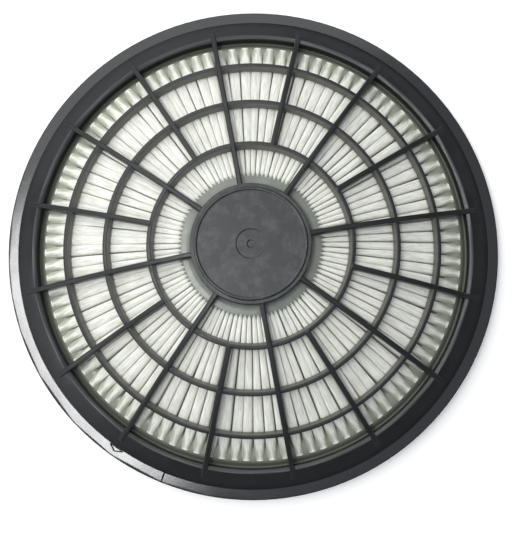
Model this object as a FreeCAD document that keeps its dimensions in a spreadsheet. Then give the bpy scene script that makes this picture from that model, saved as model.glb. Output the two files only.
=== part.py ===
import FreeCAD, Part
import math
import os
import Sketcher

# A round, domed air filter. A moulded cage carries a rosette of pleated paper, which is
# potted at the rim and at the hub, and a foam ring seals the flange from below.
# Z is up, the axis of the dome is the Z axis, and the collar stands on Z = 0.

# Driving sizes in millimetres, degrees or counts: name, value, what it measures.
SIZES = (
    ("flange_radius", 95.0, "outside of the flat flange"),
    ("flange_width", 4.0, "flat land of the flange"),
    ("flange_thickness", 2.5, "plate of the flange"),
    ("wall_run", 6.25, "sloping wall from the flange in to the hoop, in plan"),
    ("hoop_rise", 4.5, "top of the hoop above the flange"),
    ("hoop_width", 1.8, "flat top of the hoop"),
    ("rim_wall", 2.9, "upright thickness of the sloping wall"),
    ("collar_wall", 1.8, "wall of the collar below the foam ring"),
    ("collar_step", 1.0, "seat of the foam ring proud of the collar"),
    ("collar_flare", 0.4, "height of the slope from the collar out to that seat"),
    ("edge_round", 0.4, "rounding of the rim's edges"),
    ("dome_radius", 157.0, "sphere that the crowns of the ribs follow"),
    ("rib_count", 16, "ribs between the rim and the inner ring"),
    ("spoke_count", 8, "ribs that go on from the inner ring to the hub"),
    ("rib_turn", 9.8, "direction of the first rib from +X"),
    ("rib_stand", 0.3, "crown of a rib above the edge of the hoop"),
    ("rib_run", 3.6, "rib past the edge of the hoop, down the sloping wall"),
    ("rib_depth", 4.0, "rib from its crown to its foot"),
    ("rib_width", 1.9, "rib across"),
    ("rib_round", 0.4, "rounding of a rib's crown"),
    ("outer_ring_share", 0.795, "place of the outer ring from the hub to the collar"),
    ("middle_ring_share", 0.533, "place of the middle ring from the hub to the collar"),
    ("inner_ring_share", 0.255, "place of the inner ring from the hub to the collar"),
    ("ring_drop", 0.3, "top of a ring below the crowns of the ribs"),
    ("ring_stand", 0.1, "foot of a ring above the feet of the ribs"),
    ("ring_width", 1.6, "top of a ring across"),
    ("ring_draft", 0.9, "slope of a ring's inner side, across"),
    ("ring_round", 0.35, "rounding of a ring's top edges"),
    ("ring_crown", 12.0, "slight bulge of a ring's sides, as a radius"),
    ("hub_radius", 22.1, "outside of the hub"),
    ("hub_wall", 2.0, "wall of the hub's skirt"),
    ("hub_plate", 2.2, "plate that closes the hub"),
    ("hub_stand", 0.2, "shoulder of the hub above the ribs"),
    ("hub_shoulder", 1.4, "width of the hub's shoulder"),
    ("hub_lip", 1.0, "width of the raised lip around the hub's face"),
    ("hub_lip_rise", 0.7, "lip above the shoulder"),
    ("hub_lip_round", 0.3, "rounding of the lip's edges"),
    ("hub_recess", 0.9, "face of the hub below its lip"),
    ("dish_radius", 5.4, "round dish in the middle of the hub"),
    ("dish_depth", 0.4, "depth of that dish"),
    ("gate_radius", 1.4, "gate mark in the dish"),
    ("gate_depth", 0.5, "depth of the gate mark"),
    ("pleat_count", 102, "folds of the rosette"),
    ("pleat_depth", 7.5, "ridge to valley of a fold"),
    ("media_thickness", 0.5, "filter paper"),
    ("media_gap", 0.3, "ridges of the paper below the feet of the ribs"),
    ("media_stand", 3.9, "lowest fold of the paper above the foot of the collar"),
    ("rim_potting_width", 2.85, "collar to the outer ends of the ridges"),
    ("rim_potting_foot", 1.3, "bead of adhesive above the foot of the collar"),
    ("rim_potting_height", 4.9, "bead of adhesive in the collar"),
    ("hub_potting_width", 3.6, "hub to the inner ends of the ridges"),
    ("bond_gap", 0.05, "adhesive to what it is bonded to"),
    ("seal_thickness", 2.5, "foam ring under the flange"),
    ("seal_width", 8.0, "foam ring from its inside to its outside"),
    ("seal_fit", 0.1, "foam ring around its seat"),
    ("dent_turn", 225.0, "direction of the dent in the flange from the first rib"),
    ("dent_edge", 0.35, "dent away from the foot of the sloping wall"),
    ("dent_length", 6.0, "dent along the flange"),
    ("dent_width", 1.6, "dent across the flange"),
    ("dent_depth", 0.5, "dent into the flange"),
    ("crack_turn", 238.1, "direction of the hairline crack from the first rib"),
    ("crack_width", 0.25, "hairline crack across the flange"),
    ("crack_depth", 0.6, "crack into the flange"),
)

# Straight stretches that a ridge of the paper has from the hub to the rim.
RIDGE_STRETCHES = 3

doc = FreeCAD.newDocument("domed_filter")

sheet = doc.addObject("Spreadsheet::Sheet", "Sizes")
for row, (alias, value, note) in enumerate(SIZES, 1):
    sheet.set(f"A{row}", note)
    sheet.set(f"B{row}", str(value))
    sheet.setAlias(f"B{row}", alias)
doc.recompute()

levels = doc.addObject("App::VarSet", "Levels")


def derive(name, expression):
    """Add a radius, level or angle that follows from the driving sizes."""
    levels.addProperty("App::PropertyFloat", name)
    levels.setExpression(name, expression)


# Radii from the flange in to the pleats, and from the hub out to them.
derive("foot_radius", "Sizes.flange_radius - Sizes.flange_width")
derive("hoop_radius", "Levels.foot_radius - Sizes.wall_run")
derive("collar_inner", "Levels.hoop_radius - Sizes.hoop_width")
derive("collar_outer", "Levels.collar_inner + Sizes.collar_wall")
derive("seat_radius", "Levels.collar_outer + Sizes.collar_step")
derive("pack_outer", "Levels.collar_inner - Sizes.rim_potting_width")
derive("pack_inner", "Sizes.hub_radius + Sizes.hub_potting_width")

# Spheres about one centre: feet of the ribs, and ridges and valleys of the paper above and
# below. The paper's ends are cut square to them, at one angle from the axis each.
derive("rib_foot", "Sizes.dome_radius - Sizes.rib_depth")
derive("rib_shoulder", "Sizes.dome_radius - Sizes.rib_round")
derive("ridge", "Levels.rib_foot - Sizes.media_gap")
derive("ridge_under", "Levels.ridge - Sizes.media_thickness")
derive("valley", "Levels.ridge - Sizes.pleat_depth")
derive("valley_under", "Levels.valley - Sizes.media_thickness")
derive("pack_start", "asin(Levels.pack_inner / Levels.ridge) / 1 deg")
derive("pack_end", "asin(Levels.pack_outer / Levels.ridge) / 1 deg")
derive("dome_centre", "Sizes.media_stand - Levels.valley_under * cos(Levels.pack_end)")

# Levels of the rim.
derive("hoop_top", "Levels.dome_centre + sqrt(Sizes.dome_radius^2 - Levels.hoop_radius^2)"
       " - Sizes.rib_stand")
derive("flange_top", "Levels.hoop_top - Sizes.hoop_rise")
derive("flange_bottom", "Levels.flange_top - Sizes.flange_thickness")
derive("wall_slope", "Sizes.hoop_rise / Sizes.wall_run")
derive("core_top", "Levels.hoop_top - Sizes.rim_wall"
       " - (Levels.seat_radius - Levels.hoop_radius) * Levels.wall_slope")
derive("core_outer", "Levels.seat_radius"
       " + (Levels.core_top - Levels.flange_bottom) / Levels.wall_slope")

# Levels and radii of the hub.
derive("hub_shoulder_top", "Levels.dome_centre + sqrt(Sizes.dome_radius^2 - Sizes.hub_radius^2)"
       " + Sizes.hub_stand")
derive("hub_top", "Levels.hub_shoulder_top + Sizes.hub_lip_rise")
derive("hub_face", "Levels.hub_top - Sizes.hub_recess")
derive("hub_ceiling", "Levels.hub_face - Sizes.hub_plate")
derive("dish_floor", "Levels.hub_face - Sizes.dish_depth")
derive("gate_floor", "Levels.dish_floor - Sizes.gate_depth")
derive("hub_foot", "Levels.dome_centre + Levels.valley_under * cos(Levels.pack_start)")
derive("hub_inner", "Sizes.hub_radius - Sizes.hub_wall")
derive("lip_outer", "Sizes.hub_radius - Sizes.hub_shoulder")
derive("lip_inner", "Levels.lip_outer - Sizes.hub_lip")
derive("lip_flat_outer", "Levels.lip_outer - Sizes.hub_lip_round")
derive("lip_flat_inner", "Levels.lip_inner + Sizes.hub_lip_round")
derive("lip_shoulder", "Levels.hub_top - Sizes.hub_lip_round")

# Corners of the three rings: an upright outer side, a sloping inner side, and a top that
# follows the dome. The top's edges are rounded from a shoulder on each side.
derive("ring_top", "Sizes.dome_radius - Sizes.ring_drop")
derive("ring_stand", "Levels.rib_foot + Sizes.ring_stand")
RINGS = ("inner_ring", "middle_ring", "outer_ring")
for ring in RINGS:
    derive(f"{ring}_radius", "Sizes.hub_radius"
           f" + (Levels.collar_inner - Sizes.hub_radius) * Sizes.{ring}_share")
    derive(f"{ring}_far", f"Levels.{ring}_radius + Sizes.ring_width / 2")
    derive(f"{ring}_near", f"Levels.{ring}_radius - Sizes.ring_width / 2")
    derive(f"{ring}_near_foot", f"Levels.{ring}_near - Sizes.ring_draft")
    derive(f"{ring}_foot", "Levels.dome_centre"
           f" + sqrt(Levels.ring_stand^2 - Levels.{ring}_near_foot^2)")
    for side, inward in (("far", "-"), ("near", "+")):
        derive(f"{ring}_{side}_top", f"Levels.{ring}_{side} {inward} Sizes.ring_round")
        derive(f"{ring}_{side}_crown", "Levels.dome_centre"
               f" + sqrt(Levels.ring_top^2 - Levels.{ring}_{side}_top^2)")
        derive(f"{ring}_{side}_shoulder", f"Levels.{ring}_{side}_crown - Sizes.ring_round")

# Half widths of a rib's section, and the angles from the axis between which ribs run.
derive("rib_half", "Sizes.rib_width / 2")
derive("rib_flat_half", "Levels.rib_half - Sizes.rib_round")
derive("spoke_start", "asin((Sizes.hub_radius - Sizes.hub_wall / 2) / Sizes.dome_radius) / 1 deg")
derive("rib_start", "asin(Levels.inner_ring_radius / Sizes.dome_radius) / 1 deg")
derive("rib_end", "asin((Levels.hoop_radius + Sizes.rib_run) / Sizes.dome_radius) / 1 deg")

# Adhesive beads, whose faces towards the paper follow its ends, and the foam ring.
derive("rim_bead_top", "Sizes.rim_potting_foot + Sizes.rim_potting_height")
derive("rim_bead_outer", "Levels.collar_inner - Sizes.bond_gap")
derive("rim_bead_inner_top", "(Levels.rim_bead_top - Levels.dome_centre) * tan(Levels.pack_end)"
       " + Sizes.bond_gap")
derive("rim_bead_inner_foot", "(Sizes.rim_potting_foot - Levels.dome_centre) * tan(Levels.pack_end)"
       " + Sizes.bond_gap")
derive("hub_bead_top", "Levels.dome_centre + Levels.ridge * cos(Levels.pack_start)")
derive("hub_bead_inner", "Sizes.hub_radius + Sizes.bond_gap")
derive("hub_bead_outer_top", "Levels.pack_inner - Sizes.bond_gap")
derive("hub_bead_outer_foot", "Levels.valley_under * sin(Levels.pack_start) - Sizes.bond_gap")
derive("seal_inner", "Levels.seat_radius + Sizes.seal_fit")
derive("seal_outer", "Levels.seal_inner + Sizes.seal_width")
derive("seal_bottom", "Levels.flange_bottom - Sizes.seal_thickness")
derive("collar_top", "Levels.seal_bottom - Sizes.collar_flare")

# Wear on the flange: a dent beside the wall and a crack right across the land.
derive("dent_half", "Sizes.dent_length / 2")
derive("dent_inner", "Levels.foot_radius + Sizes.dent_edge")
derive("dent_outer", "Levels.dent_inner + Sizes.dent_width")
derive("crack_half", "Sizes.crack_width / 2")
derive("crack_outer", "Sizes.flange_radius + Sizes.crack_width")
doc.recompute()

DRIVING = {alias for alias, value, note in SIZES}
AXIS = "axis"
SAME_PLACE = 1e-4


def number(name):
    """The present value of a driving size or of one that follows from it."""
    return float(sheet.get(name)) if name in DRIVING else getattr(levels, name)


def reference(name):
    """How an expression names that value."""
    return f"Sizes.{name}" if name in DRIVING else f"Levels.{name}"


def coordinate(name):
    """Value of an outline's coordinate: a named value, its negative, or 0 on an axis."""
    if name == AXIS:
        return 0.0
    return -number(name[1:]) if name.startswith("-") else number(name)


def arc(start, end, radius):
    """Round corner from start to end, bulging to the right of that direction."""
    half = (end - start) / 2
    inward = FreeCAD.Vector(-half.y, half.x, 0).normalize()
    centre = start + half + inward * math.sqrt(max(radius ** 2 - half.Length ** 2, 0))
    first = math.atan2(start.y - centre.y, start.x - centre.x)
    last = math.atan2(end.y - centre.y, end.x - centre.x)
    circle = Part.Circle(centre, FreeCAD.Vector(0, 0, 1), radius)
    return Part.ArcOfCircle(circle, first, last if last > first else last + 2 * math.pi)


def outline(sketch, corners):
    """Draw a closed outline, counterclockwise, whose corners are pairs of named values.

    A third name gives the radius of a round stretch from that corner to the next."""
    points = [FreeCAD.Vector(coordinate(c[0]), coordinate(c[1]), 0) for c in corners]
    edges = []
    for corner, start, end in zip(corners, points, points[1:] + points[:1]):
        straight = len(corner) == 2
        edge = Part.LineSegment(start, end) if straight else arc(start, end, number(corner[2]))
        edges.append(sketch.addGeometry(edge, False))
    for edge, following in zip(edges, edges[1:] + edges[:1]):
        sketch.addConstraint(Sketcher.Constraint("Coincident", edge, 2, following, 1))
    for edge, corner, point in zip(edges, corners, points):
        for kind, name, value, line in (("DistanceX", corner[0], point.x, -2),
                                        ("DistanceY", corner[1], point.y, -1)):
            if name == AXIS:
                sketch.addConstraint(Sketcher.Constraint("PointOnObject", edge, 1, line))
                continue
            index = sketch.addConstraint(Sketcher.Constraint(kind, -1, 1, edge, 1, value))
            sign = "-" if name.startswith("-") else ""
            sketch.setExpression(f"Constraints[{index}]", sign + reference(name.lstrip("-")))
        if len(corner) == 3:
            radius = Sketcher.Constraint("Radius", edge, number(corner[2]))
            index = sketch.addConstraint(radius)
            sketch.setExpression(f"Constraints[{index}]", reference(corner[2]))


def datum(body, role):
    """One of the body's own origin planes or axes."""
    return next(f for f in body.Origin.OriginFeatures if f.Role == role)


def new_body(label):
    body = doc.addObject("PartDesign::Body", label)
    body.Label = label
    return body


def new_sketch(body, name, role):
    sketch = body.newObject("Sketcher::SketchObject", name)
    sketch.AttachmentSupport = [(datum(body, role), "")]
    sketch.MapMode = "FlatFace"
    return sketch


def turn_outlines(body, name, outlines):
    """Turn outlines of radius and height once around the Z axis."""
    sketch = new_sketch(body, f"{name}_outline", "XZ_Plane")
    for corners in outlines:
        outline(sketch, corners)
    turned = body.newObject("PartDesign::Revolution", name)
    turned.Profile = sketch
    turned.ReferenceAxis = (sketch, ["V_Axis"])
    turned.Angle = 360
    body.Tip = turned
    doc.recompute()
    return turned


def circles(shape, places):
    """Names of the round edges at the given pairs of radius and height."""
    found = []
    for index, edge in enumerate(shape.Edges, 1):
        if not isinstance(edge.Curve, Part.Circle):
            continue
        size = (edge.Curve.Radius, edge.Curve.Center.z)
        if any(math.dist(size, place) < SAME_PLACE for place in places):
            found.append(f"Edge{index}")
    return found


def add_ribs(body, name, start, end, count):
    """Sweep a rib's section along the dome from one angle to another, and repeat it."""
    sketch = new_sketch(body, f"{name}_section", "YZ_Plane")
    sketch.AttachmentOffset = FreeCAD.Placement(
        FreeCAD.Vector(0, number("dome_centre"), 0),
        FreeCAD.Rotation(FreeCAD.Vector(1, 0, 0), number(start)))
    sketch.setExpression("AttachmentOffset.Base.y", reference("dome_centre"))
    sketch.setExpression("AttachmentOffset.Rotation.Angle", reference(start))
    outline(sketch, (("-rib_half", "rib_foot"),
                     ("rib_half", "rib_foot"),
                     ("rib_half", "rib_shoulder", "rib_round"),
                     ("rib_flat_half", "dome_radius"),
                     ("-rib_flat_half", "dome_radius", "rib_round"),
                     ("-rib_half", "rib_shoulder")))
    rib = body.newObject("PartDesign::Revolution", name)
    rib.Profile = sketch
    rib.ReferenceAxis = (sketch, ["H_Axis"])
    rib.setExpression("Angle", f"{reference(end)} - {reference(start)}")
    rib.Refine = False
    doc.recompute()
    pattern = body.newObject("PartDesign::PolarPattern", f"{name}_pattern")
    pattern.Originals = [rib]
    pattern.Axis = (datum(body, "Z_Axis"), [""])
    pattern.Angle = 360
    pattern.setExpression("Occurrences", reference(count))
    pattern.Refine = False
    body.Tip = pattern
    doc.recompute()


def cut_flange(body, name, corners, turn, depth):
    """Cut a shallow outline into the top of the flange, turned away from the first rib."""
    sketch = new_sketch(body, f"{name}_outline", "XY_Plane")
    sketch.AttachmentOffset = FreeCAD.Placement(
        FreeCAD.Vector(0, 0, number("flange_top")),
        FreeCAD.Rotation(FreeCAD.Vector(0, 0, 1), number(turn)))
    sketch.setExpression("AttachmentOffset.Base.z", reference("flange_top"))
    sketch.setExpression("AttachmentOffset.Rotation.Angle", reference(turn))
    outline(sketch, corners)
    cut = body.newObject("PartDesign::Pocket", name)
    cut.Profile = sketch
    cut.setExpression("Length", reference(depth))
    body.Tip = cut
    before = cut.BaseFeature.Shape.Volume
    doc.recompute()
    if cut.Shape.Volume >= before:
        raise ValueError(f"{name} cuts nothing")


def make_cage():
    """One black moulding: flange, sloping wall, hoop, collar, ribs, rings and hub."""
    body = new_body("cage")
    rim = turn_outlines(body, "rim", [(
        ("collar_inner", AXIS),
        ("collar_outer", AXIS),
        ("collar_outer", "collar_top"),
        ("seat_radius", "seal_bottom"),
        ("seat_radius", "core_top"),
        ("core_outer", "flange_bottom"),
        ("flange_radius", "flange_bottom"),
        ("flange_radius", "flange_top"),
        ("foot_radius", "flange_top"),
        ("hoop_radius", "hoop_top"),
        ("collar_inner", "hoop_top"))])
    rounded = [(number(radius), number(height)) for radius, height in (
        ("flange_radius", "flange_top"),
        ("flange_radius", "flange_bottom"),
        ("hoop_radius", "hoop_top"),
        ("collar_inner", "hoop_top"))]
    rounding = body.newObject("PartDesign::Fillet", "rim_rounding")
    rounding.Base = (rim, circles(rim.Shape, rounded))
    rounding.setExpression("Radius", reference("edge_round"))
    body.Tip = rounding
    doc.recompute()

    cut_flange(body, "dent", (("dent_inner", "-dent_half"),
                              ("dent_outer", AXIS),
                              ("dent_inner", "dent_half")), "dent_turn", "dent_depth")
    cut_flange(body, "crack", (("foot_radius", "-crack_half"),
                               ("crack_outer", "-crack_half"),
                               ("crack_outer", "crack_half"),
                               ("foot_radius", "crack_half")), "crack_turn", "crack_depth")

    add_ribs(body, "rib", "rib_start", "rib_end", "rib_count")
    turn_outlines(body, "rings", [(
        (f"{ring}_near_foot", f"{ring}_foot"),
        (f"{ring}_far", f"{ring}_foot"),
        (f"{ring}_far", f"{ring}_far_shoulder", "ring_round"),
        (f"{ring}_far_top", f"{ring}_far_crown", "ring_crown"),
        (f"{ring}_near_top", f"{ring}_near_crown", "ring_round"),
        (f"{ring}_near", f"{ring}_near_shoulder", "ring_crown")) for ring in RINGS])
    add_ribs(body, "spoke", "spoke_start", "rib_start", "spoke_count")
    turn_outlines(body, "hub", [(
        (AXIS, "hub_ceiling"),
        ("hub_inner", "hub_ceiling"),
        ("hub_inner", "hub_foot"),
        ("hub_radius", "hub_foot"),
        ("hub_radius", "hub_shoulder_top"),
        ("lip_outer", "hub_shoulder_top"),
        ("lip_outer", "lip_shoulder", "hub_lip_round"),
        ("lip_flat_outer", "hub_top"),
        ("lip_flat_inner", "hub_top", "hub_lip_round"),
        ("lip_inner", "lip_shoulder"),
        ("lip_inner", "hub_face"),
        ("dish_radius", "hub_face"),
        ("dish_radius", "dish_floor"),
        ("gate_radius", "dish_floor"),
        ("gate_radius", "gate_floor"),
        (AXIS, "gate_floor"))])
    body.Placement = FreeCAD.Placement(
        FreeCAD.Vector(0, 0, 0), FreeCAD.Rotation(FreeCAD.Vector(0, 0, 1), number("rib_turn")))
    body.setExpression("Placement.Rotation.Angle", reference("rib_turn"))
    return body


def make_ring(label, corners):
    """A turned ring, such as a bead of adhesive or the foam seal."""
    body = new_body(label)
    turn_outlines(body, f"{label}_ring", [corners])
    return body


def facet(*corners):
    return Part.Face(Part.makePolygon(corners + corners[:1]))


def make_pleats(label):
    """Filter paper folded to and fro around the axis, from the hub to the rim.

    Each fold has a flat crest as wide as two papers, two flanks and a sharp valley above,
    and the same turned over below, one paper lower. Its sections stand square to the dome."""
    count = int(number("pleat_count"))
    half_pitch = math.pi / count

    def section(slant, pleat):
        """Points of one fold's upper and lower side at an angle from the axis, as they turn."""

        def place(turn, papers, sphere):
            radius = number(sphere) * math.sin(slant)
            height = number("dome_centre") + number(sphere) * math.cos(slant)
            angle = half_pitch * (2 * pleat + turn) + papers * number("media_thickness") / radius
            return FreeCAD.Vector(radius * math.cos(angle), radius * math.sin(angle), height)

        upper = [place(-1, 0, "valley"), place(0, -1, "ridge"),
                 place(0, 1, "ridge"), place(1, 0, "valley")]
        lower = [place(-1, -1, "valley_under"), place(-1, 1, "valley_under"),
                 place(0, 0, "ridge_under"), place(1, -1, "valley_under")]
        return upper, lower

    start, end = math.radians(number("pack_start")), math.radians(number("pack_end"))
    slants = [start + (end - start) * i / RIDGE_STRETCHES for i in range(RIDGE_STRETCHES + 1)]
    faces = []
    for pleat in range(count):
        sections = [section(slant, pleat) for slant in slants]
        for (upper, lower), (next_upper, next_lower) in zip(sections, sections[1:]):
            for skin, next_skin, flat in ((upper, next_upper, 1), (lower, next_lower, 0)):
                for side in range(3):
                    near, far = skin[side:side + 2]
                    next_near, next_far = next_skin[side:side + 2]
                    if side == flat:
                        faces.append(facet(near, next_near, next_far, far))
                    else:
                        faces.append(facet(near, next_near, next_far))
                        faces.append(facet(near, next_far, far))
        for upper, lower in (sections[0], sections[-1]):
            faces.append(facet(lower[0], lower[1], upper[0]))
            faces.append(facet(upper[0], lower[1], upper[1]))
            faces.append(facet(lower[1], lower[2], upper[1]))
            faces.append(facet(upper[1], lower[2], upper[2]))
            faces.append(facet(lower[2], lower[3], upper[2]))
            faces.append(facet(upper[2], lower[3], upper[3]))
    skin = Part.Compound(faces)
    skin.sewShape()
    solid = Part.makeSolid(skin)
    if solid.Volume < 0:
        solid.reverse()
    pleats = doc.addObject("Part::Feature", label)
    pleats.Label = label
    pleats.Shape = solid
    pleats.Placement = FreeCAD.Placement()
    return pleats


subparts = [
    make_cage(),
    make_pleats("pleated_media"),
    make_ring("rim_potting", (("rim_bead_inner_foot", "rim_potting_foot"),
                              ("rim_bead_outer", "rim_potting_foot"),
                              ("rim_bead_outer", "rim_bead_top"),
                              ("rim_bead_inner_top", "rim_bead_top"))),
    make_ring("hub_potting", (("hub_bead_inner", "hub_foot"),
                              ("hub_bead_outer_foot", "hub_foot"),
                              ("hub_bead_outer_top", "hub_bead_top"),
                              ("hub_bead_inner", "hub_bead_top"))),
    make_ring("seal_ring", (("seal_inner", "seal_bottom"),
                            ("seal_outer", "seal_bottom"),
                            ("seal_outer", "flange_bottom"),
                            ("seal_inner", "flange_bottom"))),
]
doc.recompute()

for item in doc.Objects:
    if {"Invalid", "Error"} & set(item.State):
        raise ValueError(f"{item.Label} failed: {item.State}")
for subpart in subparts:
    if subpart.Shape.isNull() or not subpart.Shape.isValid():
        raise ValueError(f"{subpart.Label} has no valid shape")

os.makedirs("parts", exist_ok=True)
for subpart in subparts:
    subpart.Shape.exportStep(f"parts/{subpart.Label}.step")
    box = subpart.Shape.BoundBox
    print(f"{subpart.Label}: {len(subpart.Shape.Solids)} solid, {len(subpart.Shape.Faces)} faces,"
          f" {subpart.Shape.Volume:.0f} mm3, Z {box.ZMin:.2f} to {box.ZMax:.2f}")
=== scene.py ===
# %% [markdown]
# # A domed vacuum cleaner filter
#
# The object is a round air filter: a black moulded cage, domed like a shallow bowl turned over,
# with a rosette of folded white paper under it. Adhesive seals the paper at the hub and at the
# rim, and a foam ring under the flange seals the filter in the cleaner. The construction comes
# ready-made as a frame of exact solids in metres, with Z up through the hub. This lesson dresses
# that frame: it softens the moulding, folds the paper finely, lets the adhesive creep between
# the folds, and then sets the light.

import math
import random

import bpy
from mathutils import Matrix, Vector


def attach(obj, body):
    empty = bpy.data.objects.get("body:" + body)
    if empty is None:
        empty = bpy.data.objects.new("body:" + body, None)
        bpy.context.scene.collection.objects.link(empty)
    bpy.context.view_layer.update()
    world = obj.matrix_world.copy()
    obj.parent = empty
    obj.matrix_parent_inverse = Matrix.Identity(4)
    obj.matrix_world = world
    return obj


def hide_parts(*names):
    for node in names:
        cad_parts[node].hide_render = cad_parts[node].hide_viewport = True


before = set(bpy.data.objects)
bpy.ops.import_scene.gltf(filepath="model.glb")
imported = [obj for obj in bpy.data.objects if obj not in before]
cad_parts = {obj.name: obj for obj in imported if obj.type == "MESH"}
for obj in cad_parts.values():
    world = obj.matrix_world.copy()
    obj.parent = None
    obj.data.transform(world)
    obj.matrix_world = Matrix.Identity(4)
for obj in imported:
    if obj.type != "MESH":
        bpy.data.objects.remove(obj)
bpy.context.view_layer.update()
MM = 0.001
print("frame:", ", ".join(sorted(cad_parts)))

# %% [markdown]
# ## Camera
#
# The photograph looks almost straight down on the dome, from about 42 cm above it. The camera
# stands a little below the middle of the picture, so the hub, which is nearest, moves up
# against the rim. Its place and lens were worked out from how large each ring looks and how far
# its middle is displaced, so here they are typed in as plain values. It was also held about half
# a degree askew, which is the small sideways part of the picture's up direction.

# %% Place the camera
CAMERA_PLACE = Vector((8.2, -46.4, 429.7)) * MM
CAMERA_AIM = Vector((1.7, -9.0, 8.0)) * MM
CAMERA_LENS = 71.6
CAMERA_SENSOR = 36.0
NEAREST_SEEN = 10 * MM
PICTURE_UP = Vector((0.0096, 1, 0))

bpy.ops.object.select_all(action="DESELECT")
bpy.ops.object.camera_add(location=CAMERA_PLACE)
camera = bpy.context.object
forward = (CAMERA_AIM - CAMERA_PLACE).normalized()
right = forward.cross(PICTURE_UP).normalized()
camera.rotation_euler = Matrix((right, right.cross(forward), -forward)).transposed().to_euler()
camera.data.sensor_width = CAMERA_SENSOR
camera.data.lens = CAMERA_LENS
camera.data.clip_start = NEAREST_SEEN
bpy.context.scene.camera = camera
bpy.context.scene.view_settings.view_transform = "Standard"
print("camera at", [round(value, 3) for value in CAMERA_PLACE])

# %% [markdown]
# ## Nodes and colours
#
# Every finish below is a small tree of nodes. One function adds a node, sets it up and links it,
# and one turns a colour, written the way a paint chart writes it, into the linear values that the
# renderer works with. Patterns are sized in millimetres: a noise of scale 1000 has features of
# about one millimetre, because the scene is in metres. Much on a round object depends on how far
# a point is from the axis, so that distance has a helper too.

# %% Helpers for materials
def linear(code):
    """A colour written as sRGB hex, in linear values."""
    parts = [int(code[i:i + 2], 16) / 255 for i in (1, 3, 5)]
    return [c / 12.92 if c <= 0.04045 else ((c + 0.055) / 1.055) ** 2.4 for c in parts] + [1.0]


def add_node(tree, kind, inputs=None, **settings):
    """Add a node, set its properties, and fill or link its inputs."""
    node = tree.nodes.new(kind)
    for name, value in settings.items():
        setattr(node, name, value)
    for name, value in (inputs or {}).items():
        if isinstance(value, bpy.types.NodeSocket):
            tree.links.new(value, node.inputs[name])
        else:
            node.inputs[name].default_value = value
    return node


def new_material(name):
    """An empty material, its node tree, and the object's own coordinates."""
    material = bpy.data.materials.new(name)
    material.use_nodes = True
    material.node_tree.nodes.clear()
    tree = material.node_tree
    place = add_node(tree, "ShaderNodeTexCoord").outputs["Object"]
    return material, tree, place


def from_axis(tree, place):
    """A point's place as seen from above, and its distance from the axis."""
    above = add_node(tree, "ShaderNodeVectorMath", {0: place, 1: (1, 1, 0)}, operation="MULTIPLY")
    distance = add_node(tree, "ShaderNodeVectorMath", {0: above.outputs["Vector"]},
                        operation="LENGTH")
    return above.outputs["Vector"], distance.outputs["Value"]


def per_mm(size):
    """Scale of a noise whose features are about this many millimetres wide."""
    return 1 / (size * MM)


def finish_material(tree, shader):
    """Send a finished shader to the material's surface."""
    add_node(tree, "ShaderNodeOutputMaterial", {"Surface": shader.outputs["BSDF"]})


print("a pattern 1 mm wide has scale", round(per_mm(1)))

# %% [markdown]
# ## Black moulded plastic
#
# The cage is injection-moulded ABS, dyed black all through. Moulded ABS isn't pure black to the
# eye: it is a dark grey with a satin skin that is smoother in some places than in others, where
# the melt met the steel of the mould. The flat land of the flange was polished in the mould, and
# shows the lamps much more sharply than the sloping wall. So the roughness carries a soft blotchy
# pattern about a centimetre wide, at two levels, and the distance from the axis picks the level.

# %% Satin skin and polished flange
FLANGE_FOOT = 91.0 * MM

moulded_black, tree, place = new_material("moulded_black_abs")
above, radius = from_axis(tree, place)
on_flange = add_node(tree, "ShaderNodeMapRange", {
    "Value": radius, "From Min": FLANGE_FOOT - 0.3 * MM, "From Max": FLANGE_FOOT + 0.1 * MM})
flow = add_node(tree, "ShaderNodeTexNoise", {
    "Vector": place, "Scale": per_mm(9), "Detail": 6.0, "Roughness": 0.65})
satin = add_node(tree, "ShaderNodeMapRange", {
    "Value": flow.outputs["Fac"], "From Min": 0.3, "From Max": 0.7,
    "To Min": 0.32, "To Max": 0.46})
polish = add_node(tree, "ShaderNodeMapRange", {
    "Value": flow.outputs["Fac"], "From Min": 0.3, "From Max": 0.7,
    "To Min": 0.12, "To Max": 0.17})
skin = add_node(tree, "ShaderNodeMix", {
    "Factor": on_flange.outputs["Result"], "A": satin.outputs["Result"],
    "B": polish.outputs["Result"]}, data_type="FLOAT")
print("skin: polished from", round(FLANGE_FOOT / MM), "mm outwards")

# %% [markdown]
# Use leaves its marks as well. Hands have scuffed the hub to a patchy lighter grey. The inner
# sides of the rings, which lean towards the hub, mirror the white paper, and that reflection is
# painted
# into their colour as a pale grey. Both could be painted by hand. Here they are found by place:
# scuffs within the hub's edge, and the painted reflection near a ring, inside the hoop, on faces
# that look towards the axis. The rings are evenly spaced, so one ping-pong of the distance from
# the first ring gives the distance from the nearest one.

# %% Scuffs on the hub
HUB_EDGE = 22.5 * MM

scuffs = add_node(tree, "ShaderNodeTexNoise", {
    "Vector": place, "Scale": per_mm(5), "Detail": 8.0, "Roughness": 0.75, "Distortion": 0.2})
rubbed = add_node(tree, "ShaderNodeMapRange", {
    "Value": scuffs.outputs["Fac"], "From Min": 0.46, "From Max": 0.64})
on_hub = add_node(tree, "ShaderNodeMapRange", {
    "Value": radius, "From Min": HUB_EDGE, "From Max": HUB_EDGE - 0.5 * MM})
handled = add_node(tree, "ShaderNodeMath", {
    0: rubbed.outputs["Result"], 1: on_hub.outputs["Result"]}, operation="MULTIPLY")
worn = add_node(tree, "ShaderNodeMix", {
    "Factor": handled.outputs["Value"], "A": linear("#17191B"), "B": linear("#373A3B")},
    data_type="RGBA")
print("scuffs: within", HUB_EDGE / MM, "mm")

# %% Painted reflection on the rings
HOOP_EDGE = 82.5 * MM
FIRST_RING = 37.6 * MM
RING_STEP = 16.45 * MM

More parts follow.
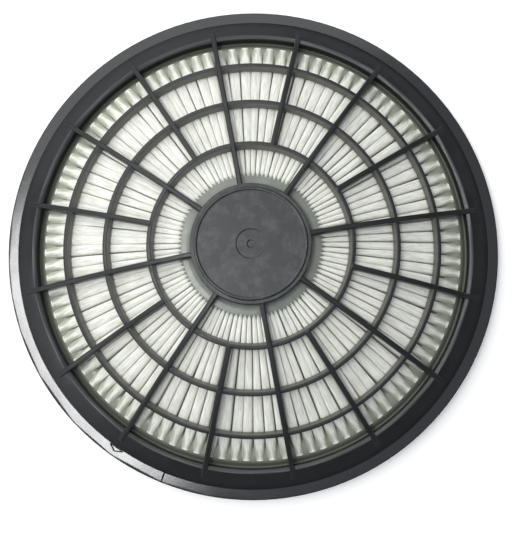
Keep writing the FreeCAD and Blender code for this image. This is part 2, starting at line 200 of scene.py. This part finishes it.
from_first = add_node(tree, "ShaderNodeMath", {0: radius, 1: FIRST_RING}, operation="SUBTRACT")
from_ring = add_node(tree, "ShaderNodeMath", {
    0: from_first.outputs["Value"], 1: RING_STEP / 2}, operation="PINGPONG")
near_ring = add_node(tree, "ShaderNodeMapRange", {
    "Value": from_ring.outputs["Value"], "From Min": 2.8 * MM, "From Max": 2.0 * MM})
outward = add_node(tree, "ShaderNodeVectorMath", {0: above}, operation="NORMALIZE")
face = add_node(tree, "ShaderNodeNewGeometry")
facing_out = add_node(tree, "ShaderNodeVectorMath", {
    0: face.outputs["Normal"], 1: outward.outputs["Vector"]}, operation="DOT_PRODUCT")
inner_side = add_node(tree, "ShaderNodeMapRange", {
    "Value": facing_out.outputs["Value"], "From Min": -0.4, "From Max": -0.8})
within_hoop = add_node(tree, "ShaderNodeMapRange", {
    "Value": radius, "From Min": HOOP_EDGE, "From Max": HOOP_EDGE - 2 * MM, "To Max": 0.8})
on_ring = add_node(tree, "ShaderNodeMath", {
    0: near_ring.outputs["Result"], 1: inner_side.outputs["Result"]}, operation="MULTIPLY")
# Painted reflection: pale grey on the inner sides of the rings, where they mirror the white paper.
reflection_mask = add_node(tree, "ShaderNodeMath", {
    0: on_ring.outputs["Value"], 1: within_hoop.outputs["Result"]}, operation="MULTIPLY")
tint = add_node(tree, "ShaderNodeMix", {
    "Factor": reflection_mask.outputs["Value"], "A": worn.outputs["Result"], "B": linear("#66675F")},
    data_type="RGBA")
print("painted_reflection: on rings", RING_STEP / MM, "mm apart")

# %% [markdown]
# A moulded edge is never quite sharp. Its small radius is what draws the thin lines of light
# along the hub, the hoop and the crack in the flange. A bevel on every edge of the mesh would be
# apt to tangle where ribs and rings cross, so the shader rounds them instead. The fine grain of
# the tool steel lies on top. ABS has an IOR of about 1.53, which is matched here to the strength
# of the photograph's reflections.

# %% Put the moulded plastic together
EDGE_RADIUS = 0.45 * MM

grain = add_node(tree, "ShaderNodeTexNoise", {
    "Vector": place, "Scale": per_mm(0.7), "Detail": 3.0})
soft_edges = add_node(tree, "ShaderNodeBevel", {"Radius": EDGE_RADIUS}, samples=8)
grain_bump = add_node(tree, "ShaderNodeBump", {
    "Height": grain.outputs["Fac"], "Strength": 0.10, "Distance": 0.1 * MM,
    "Normal": soft_edges.outputs["Normal"]})
shader = add_node(tree, "ShaderNodeBsdfPrincipled", {
    "Base Color": tint.outputs["Result"], "Roughness": skin.outputs["Result"],
    "IOR": 1.51, "Normal": grain_bump.outputs["Normal"]})
finish_material(tree, shader)
print("material:", moulded_black.name)

# %% [markdown]
# ## Filter paper
#
# The medium is a soft non-woven paper of fine fibres, off-white with a faint green-yellow cast.
# It is completely matt, and a little light passes into it, which softens the shade in its folds.
# Folding has drawn its fibres out into faint streaks along the folds, about a millimetre wide.
# Streaks laid out in the dome's own coordinates would cut across the folds, so each point carries
# its place on the flat sheet, as an attribute. A second attribute turns the paper greyer: partly
# where adhesive has crept in, as paper greys when it takes up glue, and partly as painted shade on
# the flanks and in the valleys near the rim. Both are stored when the paper is folded.

# %% Make the filter paper
filter_paper, tree, place = new_material("filter_paper_nonwoven")
sheet = add_node(tree, "ShaderNodeAttribute", attribute_name="sheet")
drawn_out = add_node(tree, "ShaderNodeVectorMath", {
    0: sheet.outputs["Vector"], 1: (per_mm(0.9), per_mm(7), 1)}, operation="MULTIPLY")
streaks = add_node(tree, "ShaderNodeTexNoise", {
    "Vector": drawn_out.outputs["Vector"], "Scale": 1.0, "Detail": 4.0, "Roughness": 0.6})
streaky = add_node(tree, "ShaderNodeMapRange", {
    "Value": streaks.outputs["Fac"], "From Min": 0.36, "From Max": 0.60})
patches = add_node(tree, "ShaderNodeTexNoise", {
    "Vector": place, "Scale": per_mm(9), "Detail": 2.0})
dry = add_node(tree, "ShaderNodeMix", {
    "Factor": patches.outputs["Fac"], "A": linear("#EDEEE3"), "B": linear("#F5F6EE")},
    data_type="RGBA")
mottled = add_node(tree, "ShaderNodeMix", {
    "Factor": streaky.outputs["Result"], "A": linear("#D5D6C9"), "B": dry.outputs["Result"]},
    data_type="RGBA")
# Greyer where adhesive has crept in, and painted shade on the flanks and in the valleys near the
# rim.
soak_shade = add_node(tree, "ShaderNodeAttribute", attribute_name="soak_shade")
damp_and_shaded = add_node(tree, "ShaderNodeMix", {
    "Factor": soak_shade.outputs["Fac"], "A": mottled.outputs["Result"], "B": linear("#ADB1A0")},
    data_type="RGBA")
fibres = add_node(tree, "ShaderNodeTexNoise", {
    "Vector": place, "Scale": per_mm(0.8), "Detail": 5.0, "Roughness": 0.7})
fibre_bump = add_node(tree, "ShaderNodeBump", {
    "Height": fibres.outputs["Fac"], "Strength": 0.35, "Distance": 0.25 * MM})
shader = add_node(tree, "ShaderNodeBsdfPrincipled", {
    "Base Color": damp_and_shaded.outputs["Result"], "Roughness": 0.9, "Specular IOR Level": 0.2,
    "Subsurface Weight": 0.6, "Subsurface Radius": (1.0, 1.0, 0.95),
    "Subsurface Scale": 0.8 * MM, "Normal": fibre_bump.outputs["Normal"]})
finish_material(tree, shader)
print("material:", filter_paper.name)

# %% [markdown]
# ## Adhesive
#
# The ends of the folds are potted in a cast polyurethane adhesive: a cloudy, translucent
# grey-green that is glossy where it set against air. A shader that lets light through would show
# that, but it is slow and noisy. So the colour stands for what is seen through the adhesive: it
# is cloudy grey at the hub and warmer among the white folds at the rim. Where it thins out over
# the black hoop it is darker, and that darker band is also painted shade, cast by the hoop.

# %% Make the adhesive
RIM_EDGE = 80.0 * MM
HALF_WAY = 50.0 * MM

potting, tree, place = new_material("cast_polyurethane_adhesive")
radius = from_axis(tree, place)[1]
clouds = add_node(tree, "ShaderNodeTexNoise", {
    "Vector": place, "Scale": per_mm(3), "Detail": 3.0})
cast = add_node(tree, "ShaderNodeMix", {
    "Factor": clouds.outputs["Fac"], "A": linear("#636861"), "B": linear("#868B82")},
    data_type="RGBA")
among_folds = add_node(tree, "ShaderNodeMapRange", {
    "Value": radius, "From Min": HALF_WAY, "From Max": HALF_WAY + 1 * MM})
over_paper = add_node(tree, "ShaderNodeMix", {
    "Factor": among_folds.outputs["Result"], "A": cast.outputs["Result"], "B": linear("#848879")},
    data_type="RGBA")
# Darker by the hoop: thin adhesive over black plastic, and painted shade from the hoop.
thin = add_node(tree, "ShaderNodeMapRange", {
    "Value": radius, "From Min": RIM_EDGE - 0.5 * MM, "From Max": RIM_EDGE + 1.3 * MM})
over_black_and_shaded = add_node(tree, "ShaderNodeMix", {
    "Factor": thin.outputs["Result"], "A": over_paper.outputs["Result"], "B": linear("#6C7064")},
    data_type="RGBA")
ripple = add_node(tree, "ShaderNodeBump", {
    "Height": clouds.outputs["Fac"], "Strength": 0.25, "Distance": 0.4 * MM})
shader = add_node(tree, "ShaderNodeBsdfPrincipled", {
    "Base Color": over_black_and_shaded.outputs["Result"], "Roughness": 0.3, "IOR": 1.5,
    "Normal": ripple.outputs["Normal"]})
finish_material(tree, shader)
print("material:", potting.name)

# %% [markdown]
# ## Foam
#
# The seal is a closed-cell rubber foam, black and dull, with cells just large enough to see. A
# cell pattern gives both its colour and its pitted surface.

# %% Make the foam
foam, tree, place = new_material("closed_cell_foam")
cells = add_node(tree, "ShaderNodeTexVoronoi", {"Vector": place, "Scale": per_mm(0.7)})
dark_cells = add_node(tree, "ShaderNodeMix", {
    "Factor": cells.outputs["Distance"], "A": linear("#18181A"), "B": linear("#2B2B2D")},
    data_type="RGBA")
cell_bump = add_node(tree, "ShaderNodeBump", {
    "Height": cells.outputs["Distance"], "Strength": 0.6, "Distance": 0.3 * MM})
shader = add_node(tree, "ShaderNodeBsdfPrincipled", {
    "Base Color": dark_cells.outputs["Result"], "Roughness": 0.92,
    "Normal": cell_bump.outputs["Normal"]})
finish_material(tree, shader)
print("material:", foam.name)

# %% [markdown]
# ## The cage
#
# The cage is one moulding: flange, sloping wall, hoop, ribs, rings and hub. Its exact solid is
# already right, so its mesh is copied and finished, rather than modelled again. The copy arrives
# as loose triangles, so its doubled points are merged, and flat stretches are joined to whole
# faces, over which smooth shading runs clean.

# %% Copy the cage
def work_on(piece):
    """Make a piece the only selected one, and the active one."""
    bpy.ops.object.select_all(action="DESELECT")
    piece.select_set(True)
    bpy.context.view_layer.objects.active = piece


cage = bpy.data.objects.new("moulded_cage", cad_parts["cage"].data.copy())
bpy.context.scene.collection.objects.link(cage)
work_on(cage)
bpy.ops.mesh.customdata_custom_splitnormals_clear()
bpy.ops.object.mode_set(mode="EDIT")
bpy.ops.mesh.select_all(action="SELECT")
bpy.ops.mesh.remove_doubles(threshold=0.002 * MM)
bpy.ops.mesh.select_all(action="SELECT")
bpy.ops.mesh.dissolve_limited(angle_limit=math.radians(0.5))
bpy.ops.mesh.select_all(action="DESELECT")
bpy.ops.object.mode_set(mode="OBJECT")
print("cage:", len(cage.data.polygons), "faces")

# %% [markdown]
# The top of the hoop isn't quite level on the real moulding: it falls inwards, and the light on
# it shows that. It could be turned again as a new ring, but its points are easy to find by their
# height and distance from the axis, so each is lowered by its share of the slope.

# %% Let the hoop fall inwards
SHARP = math.radians(35)
HOOP_OUTER = 84.6 * MM
HOOP_WIDTH = 1.7 * MM
HOOP_TOP = 12.570 * MM
HOOP_ROUNDING = 0.45 * MM
HOOP_FALL = math.tan(math.radians(15))


def wear(piece, material):
    """Give a piece its only material."""
    piece.data.materials.clear()
    piece.data.materials.append(material)


lowered = 0
for point in cage.data.vertices:
    across_hoop = HOOP_OUTER - point.co.xy.length
    on_top = HOOP_TOP - HOOP_ROUNDING < point.co.z < HOOP_TOP + 0.01 * MM
    if on_top and 0 < across_hoop < HOOP_WIDTH:
        point.co.z -= across_hoop * HOOP_FALL
        lowered += 1
bpy.ops.object.shade_smooth_by_angle(angle=SHARP)
wear(cage, moulded_black)
print("hoop:", lowered, "points lowered")

# %% [markdown]
# ## The pleated paper
#
# The paper is one strip folded to and fro about a hundred times and closed to a rosette. Its
# ridges and valleys lie on two spheres about the same centre, and its ends are cut square to the
# dome. Drawing a hundred folds by hand would take days, and copying one fold would look too even.
# So a flat grid is added with one column of faces for each small stretch of fold, and each of its
# points is then moved to its place by a formula: along the grid the paper turns about the axis,
# and across it the paper runs out from the hub along the top, over the cut end and back below.

# %% Measure the pack
PLEATS = 102
FOLD_STEPS = 16
NEAR_HUB = [0.0, 0.006, 0.016, 0.033]
NEAR_RIM = [0.94, 0.97, 0.990, 0.994, 1.0]
RUNS = NEAR_HUB + [0.06 * i for i in range(1, 16)] + NEAR_RIM
RUN_STEPS = len(RUNS) - 1
DOME_CENTRE = -119.294 * MM
RIDGE = 152.7 * MM
VALLEY = 145.2 * MM
PAPER = 0.5 * MM
PACK_START = math.asin(25.7 * MM / RIDGE)
PACK_END = math.asin(80.1 * MM / RIDGE)

chance = random.Random(11)
fold_lean = [chance.uniform(-0.15, 0.15) for fold in range(PLEATS)]
fold_drop = [chance.uniform(0.0, 0.045) for fold in range(PLEATS)]
fold_wave = [chance.uniform(0, 2 * math.pi) for fold in range(PLEATS)]
fold_creep = [chance.uniform(-0.03, 0.02) for fold in range(PLEATS)]
print("pack:", PLEATS, "folds", round((RIDGE - VALLEY) / MM, 1), "mm deep")

# %% [markdown]
# A fold is broad and slightly arched on top, with steep flanks that nearly touch those of its
# neighbours. Towards the rim it narrows to a rounded finger, whose cut end curls up to a small
# lip. On one side of this filter the folds have been pressed flatter, so that their gaps close.

# %% Shape one fold
ARCH = 0.06
LIP = 0.03
CUT_END = 0.992
OPENS_AT = 0.86
FLANK, FINGER = 22.0, 5.0
UNEVEN = 0.3
PRESSED_SIDE, PRESSING = math.radians(145), 1.2


def crest(across, run, fold):
    """Height of a fold across its width: 1 on the ridge, 0 in the valleys."""
    opening = max(0.0, (run - OPENS_AT) / (1 - OPENS_AT))
    pressed = max(0.0, math.cos(2 * math.pi * fold / PLEATS - PRESSED_SIDE))
    pinch = 1 + UNEVEN * math.sin(fold_wave[fold] * 3 + 9 * run) + PRESSING * pressed
    steepness = FLANK * pinch * (1 - opening) + FINGER * opening
    lip = LIP if run > CUT_END else 0.0
    return 1 + lip - ARCH * across ** 2 - (1 - ARCH) * abs(across) ** steepness


print("fold: from", crest(0, 0.5, 0), "on the ridge to", round(crest(1, 0.5, 0), 3), "in a valley")

# %% [markdown]
# Liquid adhesive creeps up into paper from both ends and turns it greyer. At the rim it comes up
# the flanks and leaves a dry finger in the middle of each fold. The grey on the flanks there is
# also painted shade, for the deep valleys. The cut edges are left white, which paints a thin
# highlight along each end. At the hub the grey fades out within a few millimetres.

# %% Soak the ends, with painted shade in the valleys
CREEP_START, CREEP_LENGTH = 0.81, 0.14
DRY_LEAST, ALL_DRY = 0.12, 1.2
EDGE_FADE = 5
HUB_SOAK, HUB_FADE = 0.7, 20


def soak_and_shade(across, run, fold):
    """How grey a point of a fold is, from 0 to 1, from adhesive and painted valley shade."""
    creep = run + fold_creep[fold]
    dry_and_lit_half = ALL_DRY
    if creep > CREEP_START:
        dry_and_lit_half = max(DRY_LEAST, 1.0 - (creep - CREEP_START) / CREEP_LENGTH)
    at_rim = min(1.0, max(0.0, (abs(across) - dry_and_lit_half) * EDGE_FADE)) if run < CUT_END else 0.0
    return max(at_rim, HUB_SOAK - run * HUB_FADE)


print("soaking: at the hub", soak_and_shade(0, 0, 0), "and on a flank at the rim", soak_and_shade(0.9, 0.97, 0))

# %% [markdown]
# Each fold leans a little to one side, waves along its length and stands at its own height, by
# amounts drawn once for all. Near the hub the adhesive holds the folds nearly level. The underside
# is the same surface, one paper thickness lower and slightly narrower, so the paper keeps its
# thickness on the flanks too.

# %% Place a point of the paper
CROWDING = 2.3
FLANK_INSET = 0.35 * MM
WAVE = 0.10
SHEET_SHIFT = 17 * MM


def paper_point(column, row):
    """Where a point of the flat grid lies on the folded paper, how grey it is from adhesive and
    painted shade, and where it lay on the flat sheet."""
    fold, step = divmod(column, FOLD_STEPS)
    fold %= PLEATS
    share = 2 * step / FOLD_STEPS - 1
    across = math.copysign(1 - (1 - abs(share)) ** CROWDING, share)
    under = row > RUN_STEPS
    run = RUNS[2 * RUN_STEPS + 1 - row if under else row]
    slant = PACK_START + (PACK_END - PACK_START) * run
    half_pitch = math.pi / PLEATS
    freedom = min(1.0, 0.25 + 5 * run)
    rise = crest(across, run, fold) * (1 - fold_drop[fold] * freedom)
    sphere = VALLEY + (RIDGE - VALLEY) * rise
    sheet = (half_pitch * RIDGE * across * math.sin(slant) + fold * SHEET_SHIFT
             + math.copysign((RIDGE - VALLEY) * (1 - rise), across), RIDGE * slant, 0)
    if under:
        narrowing = FLANK_INSET / (half_pitch * VALLEY * math.sin(slant))
        across *= 1 - min(narrowing, 0.5)
        sphere -= PAPER
    lean = fold_lean[fold] + WAVE * math.sin(fold_wave[fold] + 5 * run)
    turn = half_pitch * (2 * fold + across + lean * rise)
    radius = sphere * math.sin(slant)
    height = DOME_CENTRE + sphere * math.cos(slant)
    place = (radius * math.cos(turn), radius * math.sin(turn), height)
    return place, soak_and_shade(across, run, fold), sheet


print("first point:", [round(value / MM, 1) for value in paper_point(0, 0)[0]], "mm")

# %% [markdown]
# Now the grid is added and folded. Its last column meets its first, and its last row meets its
# first, so the doubled points there are merged. That closes the paper to one skin, which shows
# from above and from below.

# %% Fold the paper
columns, rows = PLEATS * FOLD_STEPS, 2 * RUN_STEPS + 2
bpy.ops.object.select_all(action="DESELECT")
bpy.ops.mesh.primitive_grid_add(x_subdivisions=columns, y_subdivisions=rows, size=2)
paper = bpy.context.object
paper.name = "folded_paper"
soak_shade_points = paper.data.attributes.new("soak_shade", "FLOAT", "POINT").data
sheet_points = paper.data.attributes.new("sheet", "FLOAT_VECTOR", "POINT").data
for point in paper.data.vertices:
    column = round((point.co.x + 1) / 2 * columns)
    row = round((point.co.y + 1) / 2 * rows) % rows
    point.co, wet_and_shaded, sheet_place = paper_point(column, row)
    soak_shade_points[point.index].value = wet_and_shaded
    sheet_points[point.index].vector = sheet_place
bpy.ops.object.mode_set(mode="EDIT")
bpy.ops.mesh.select_all(action="SELECT")
bpy.ops.mesh.remove_doubles(threshold=0.001 * MM)
bpy.ops.mesh.normals_make_consistent(inside=False)
bpy.ops.object.mode_set(mode="OBJECT")
bpy.ops.object.shade_smooth_by_angle(angle=math.radians(60))
wear(paper, filter_paper)
print("paper:", len(paper.data.polygons), "faces")

# %% [markdown]
# ## The adhesive
#
# The paper's ends are cast into adhesive, which was liquid when it was poured. So each bead
# climbs where it meets the plastic, and runs some way between the folds: a few millimetres out
# from the hub, and up to a soft crown inside the hoop. Filling each gap between the folds by
# itself would take a hundred small pieces. A plain turned ring does the same, because the folds
# stand up through it. A circle is added, then extruded and scaled from corner to corner of its
# section, all the way round to where it began.

# %% Cast the two beads
AROUND = 360


def turned_ring(name, section, material):
    """A ring with the given closed section, as pairs of radius and height in millimetres."""
    bpy.ops.object.select_all(action="DESELECT")
    bpy.ops.mesh.primitive_circle_add(vertices=AROUND, radius=section[0][0] * MM)
    ring = bpy.context.object
    ring.name = name
    bpy.ops.object.mode_set(mode="EDIT")
    bpy.ops.mesh.select_all(action="SELECT")
    bpy.ops.transform.translate(value=(0, 0, section[0][1] * MM))
    for (radius, height), (next_radius, next_height) in zip(section, section[1:] + section[:1]):
        bpy.ops.mesh.extrude_region_move(
            TRANSFORM_OT_translate={"value": (0, 0, (next_height - height) * MM)})
        scale = next_radius / radius
        bpy.ops.transform.resize(value=(scale, scale, 1), center_override=(0, 0, 0))
    bpy.ops.mesh.select_all(action="SELECT")
    bpy.ops.mesh.remove_doubles(threshold=0.001 * MM)
    bpy.ops.mesh.normals_make_consistent(inside=False)
    bpy.ops.object.mode_set(mode="OBJECT")
    bpy.ops.object.shade_smooth_by_angle(angle=math.radians(40))
    wear(ring, material)
    print(name + ":", len(ring.data.polygons), "faces")
    return ring


hub_bead = turned_ring("hub_adhesive", [
    (22.15, 23.4), (24.2, 23.4), (25.5, 29.4), (27.6, 29.4), (27.5, 29.8), (27.1, 30.4),
    (26.7, 30.75), (26.2, 31.03), (25.5, 31.18), (24.4, 31.2), (23.4, 31.3), (22.7, 31.6),
    (22.3, 32.1), (22.15, 32.5)], potting)
rim_bead = turned_ring("rim_adhesive", [
    (82.9, 1.4), (82.9, 7.6), (82.7, 7.3), (82.3, 7.4), (81.8, 8.1), (81.2, 9.1), (80.6, 9.9),
    (79.8, 10.45), (78.8, 10.85), (77.6, 11.15), (76.2, 11.3), (74.8, 11.2), (73.5, 10.8),
    (72.2, 10.0), (72.2, 9.0), (76.3, 4.6), (74.6, 1.4)], potting)

# %% [markdown]
# ## The foam seal
#
# A flat ring of foam, die-cut from sheet and glued under the flange. The cutting die leaves its
# lower edges slightly rounded, so it is turned like the beads, with those corners in its section.

# %% Cut the seal
foam_ring = turned_ring("foam_ring", [
    (85.85, 5.56), (85.85, 3.45), (85.95, 3.2), (86.2, 3.09), (93.5, 3.09), (93.75, 3.2),
    (93.85, 3.45), (93.85, 5.56)], foam)

# %% [markdown]
# ## Floor
#
# The filter lies on a plain white table. A white surface under this light would render pale grey,
# and more light would bleach the paper. So the table glows a little, but only for the camera, and
# keeps the filter's shadow.

# %% Lay the floor
bpy.ops.object.select_all(action="DESELECT")
bpy.ops.mesh.primitive_plane_add(size=6)
floor = bpy.context.object
floor.name = "white_table"
white_table, tree, place = new_material("white_table_laminate")
matt = add_node(tree, "ShaderNodeBsdfDiffuse", {"Color": linear("#F4F4F2")})
glow = add_node(tree, "ShaderNodeEmission", {"Color": linear("#FFFFFF"), "Strength": 0.22})
rays = add_node(tree, "ShaderNodeLightPath")
nothing = add_node(tree, "ShaderNodeBsdfTransparent", {"Color": (0, 0, 0, 1)})
lift = add_node(tree, "ShaderNodeMixShader", {
    0: rays.outputs["Is Camera Ray"], 1: nothing.outputs["BSDF"], 2: glow.outputs["Emission"]})
both = add_node(tree, "ShaderNodeAddShader", {0: matt.outputs["BSDF"], 1: lift.outputs["Shader"]})
add_node(tree, "ShaderNodeOutputMaterial", {"Surface": both.outputs["Shader"]})
floor.data.materials.append(white_table)
print("floor:", floor.name)

# %% [markdown]
# ## Light
#
# Soft light comes from the upper left, from a broad key panel. A low, wide panel at the left
# stands for a window, and picks out the hoop and the rings' edges on that side. A small panel
# almost overhead is what the polished flange mirrors at the lower left.

# %% Set the lamps
KEY_TURN, KEY_RISE, KEY_AWAY = math.radians(125), math.radians(46), 1.3
WINDOW_TURN, WINDOW_AWAY = math.radians(200), 1.2
MIDDLE = (0, 0, 0)


def add_panel(name, place, aim, size, power, roll=0.0):
    """A soft rectangular lamp that faces a point, rolled about the way that it faces."""
    bpy.ops.object.select_all(action="DESELECT")
    bpy.ops.object.light_add(type="AREA", location=place)
    lamp = bpy.context.object
    lamp.name = name
    facing = (Vector(aim) - Vector(place)).to_track_quat("-Z", "Y").to_matrix()
    lamp.rotation_euler = (facing @ Matrix.Rotation(roll, 3, "Z")).to_euler()
    lamp.data.shape = "RECTANGLE"
    lamp.data.size, lamp.data.size_y = size
    lamp.data.energy = power
    print(name + ":", power, "W")


key_place = KEY_AWAY * Vector((math.cos(KEY_TURN) * math.cos(KEY_RISE),
                               math.sin(KEY_TURN) * math.cos(KEY_RISE), math.sin(KEY_RISE)))
window_place = WINDOW_AWAY * Vector((math.cos(WINDOW_TURN) * 0.9, math.sin(WINDOW_TURN) * 0.9,
                                     0.42))
add_panel("key_panel", key_place, MIDDLE, (1.6, 1.6), 13.0)
add_panel("low_window", window_place, MIDDLE, (0.9, 0.35), 3.0)
add_panel("top_panel", (-0.30, -0.03, 1.2), (-0.30, -0.03, 0), (0.45, 0.16), 5.0,
          math.radians(-58))

# %% [markdown]
# The room itself gives the rest of the light. It is bright overhead, as under a white ceiling,
# and dim towards the walls, which keeps the sloping wall of the cage dark. The camera sees a
# plain pale backdrop in its place.

# %% Light the room
world = bpy.data.worlds.new("room")
bpy.context.scene.world = world
world.use_nodes = True
room = world.node_tree
room.nodes.clear()
rays = add_node(room, "ShaderNodeLightPath")
sky = add_node(room, "ShaderNodeTexCoord")
height = add_node(room, "ShaderNodeSeparateXYZ", {"Vector": sky.outputs["Generated"]})
ceiling = add_node(room, "ShaderNodeMapRange", {
    "Value": height.outputs["Z"], "From Min": 0.45, "From Max": 0.95,
    "To Min": 0.08, "To Max": 0.85})
ambient = add_node(room, "ShaderNodeBackground", {
    "Color": linear("#F2F5FF"), "Strength": ceiling.outputs["Result"]})
backdrop = add_node(room, "ShaderNodeBackground", {"Strength": 1.0})
seen = add_node(room, "ShaderNodeMixShader", {
    0: rays.outputs["Is Camera Ray"], 1: ambient.outputs["Background"],
    2: backdrop.outputs["Background"]})
add_node(room, "ShaderNodeOutputWorld", {"Surface": seen.outputs["Shader"]})
print("world:", world.name)

# %% [markdown]
# ## Attach the pieces
#
# Each piece rides on the frame's one body, and the solid that it stands for is hidden.

# %% Tie the pieces to the frame
for piece, node, finish in ((cage, "cage", "cage"),
                            (paper, "pleated_media", "media"),
                            (rim_bead, "rim_potting", "potting"),
                            (hub_bead, "hub_potting", "potting"),
                            (foam_ring, "seal_ring", "seal")):
    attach(piece, "root")
    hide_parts(node)
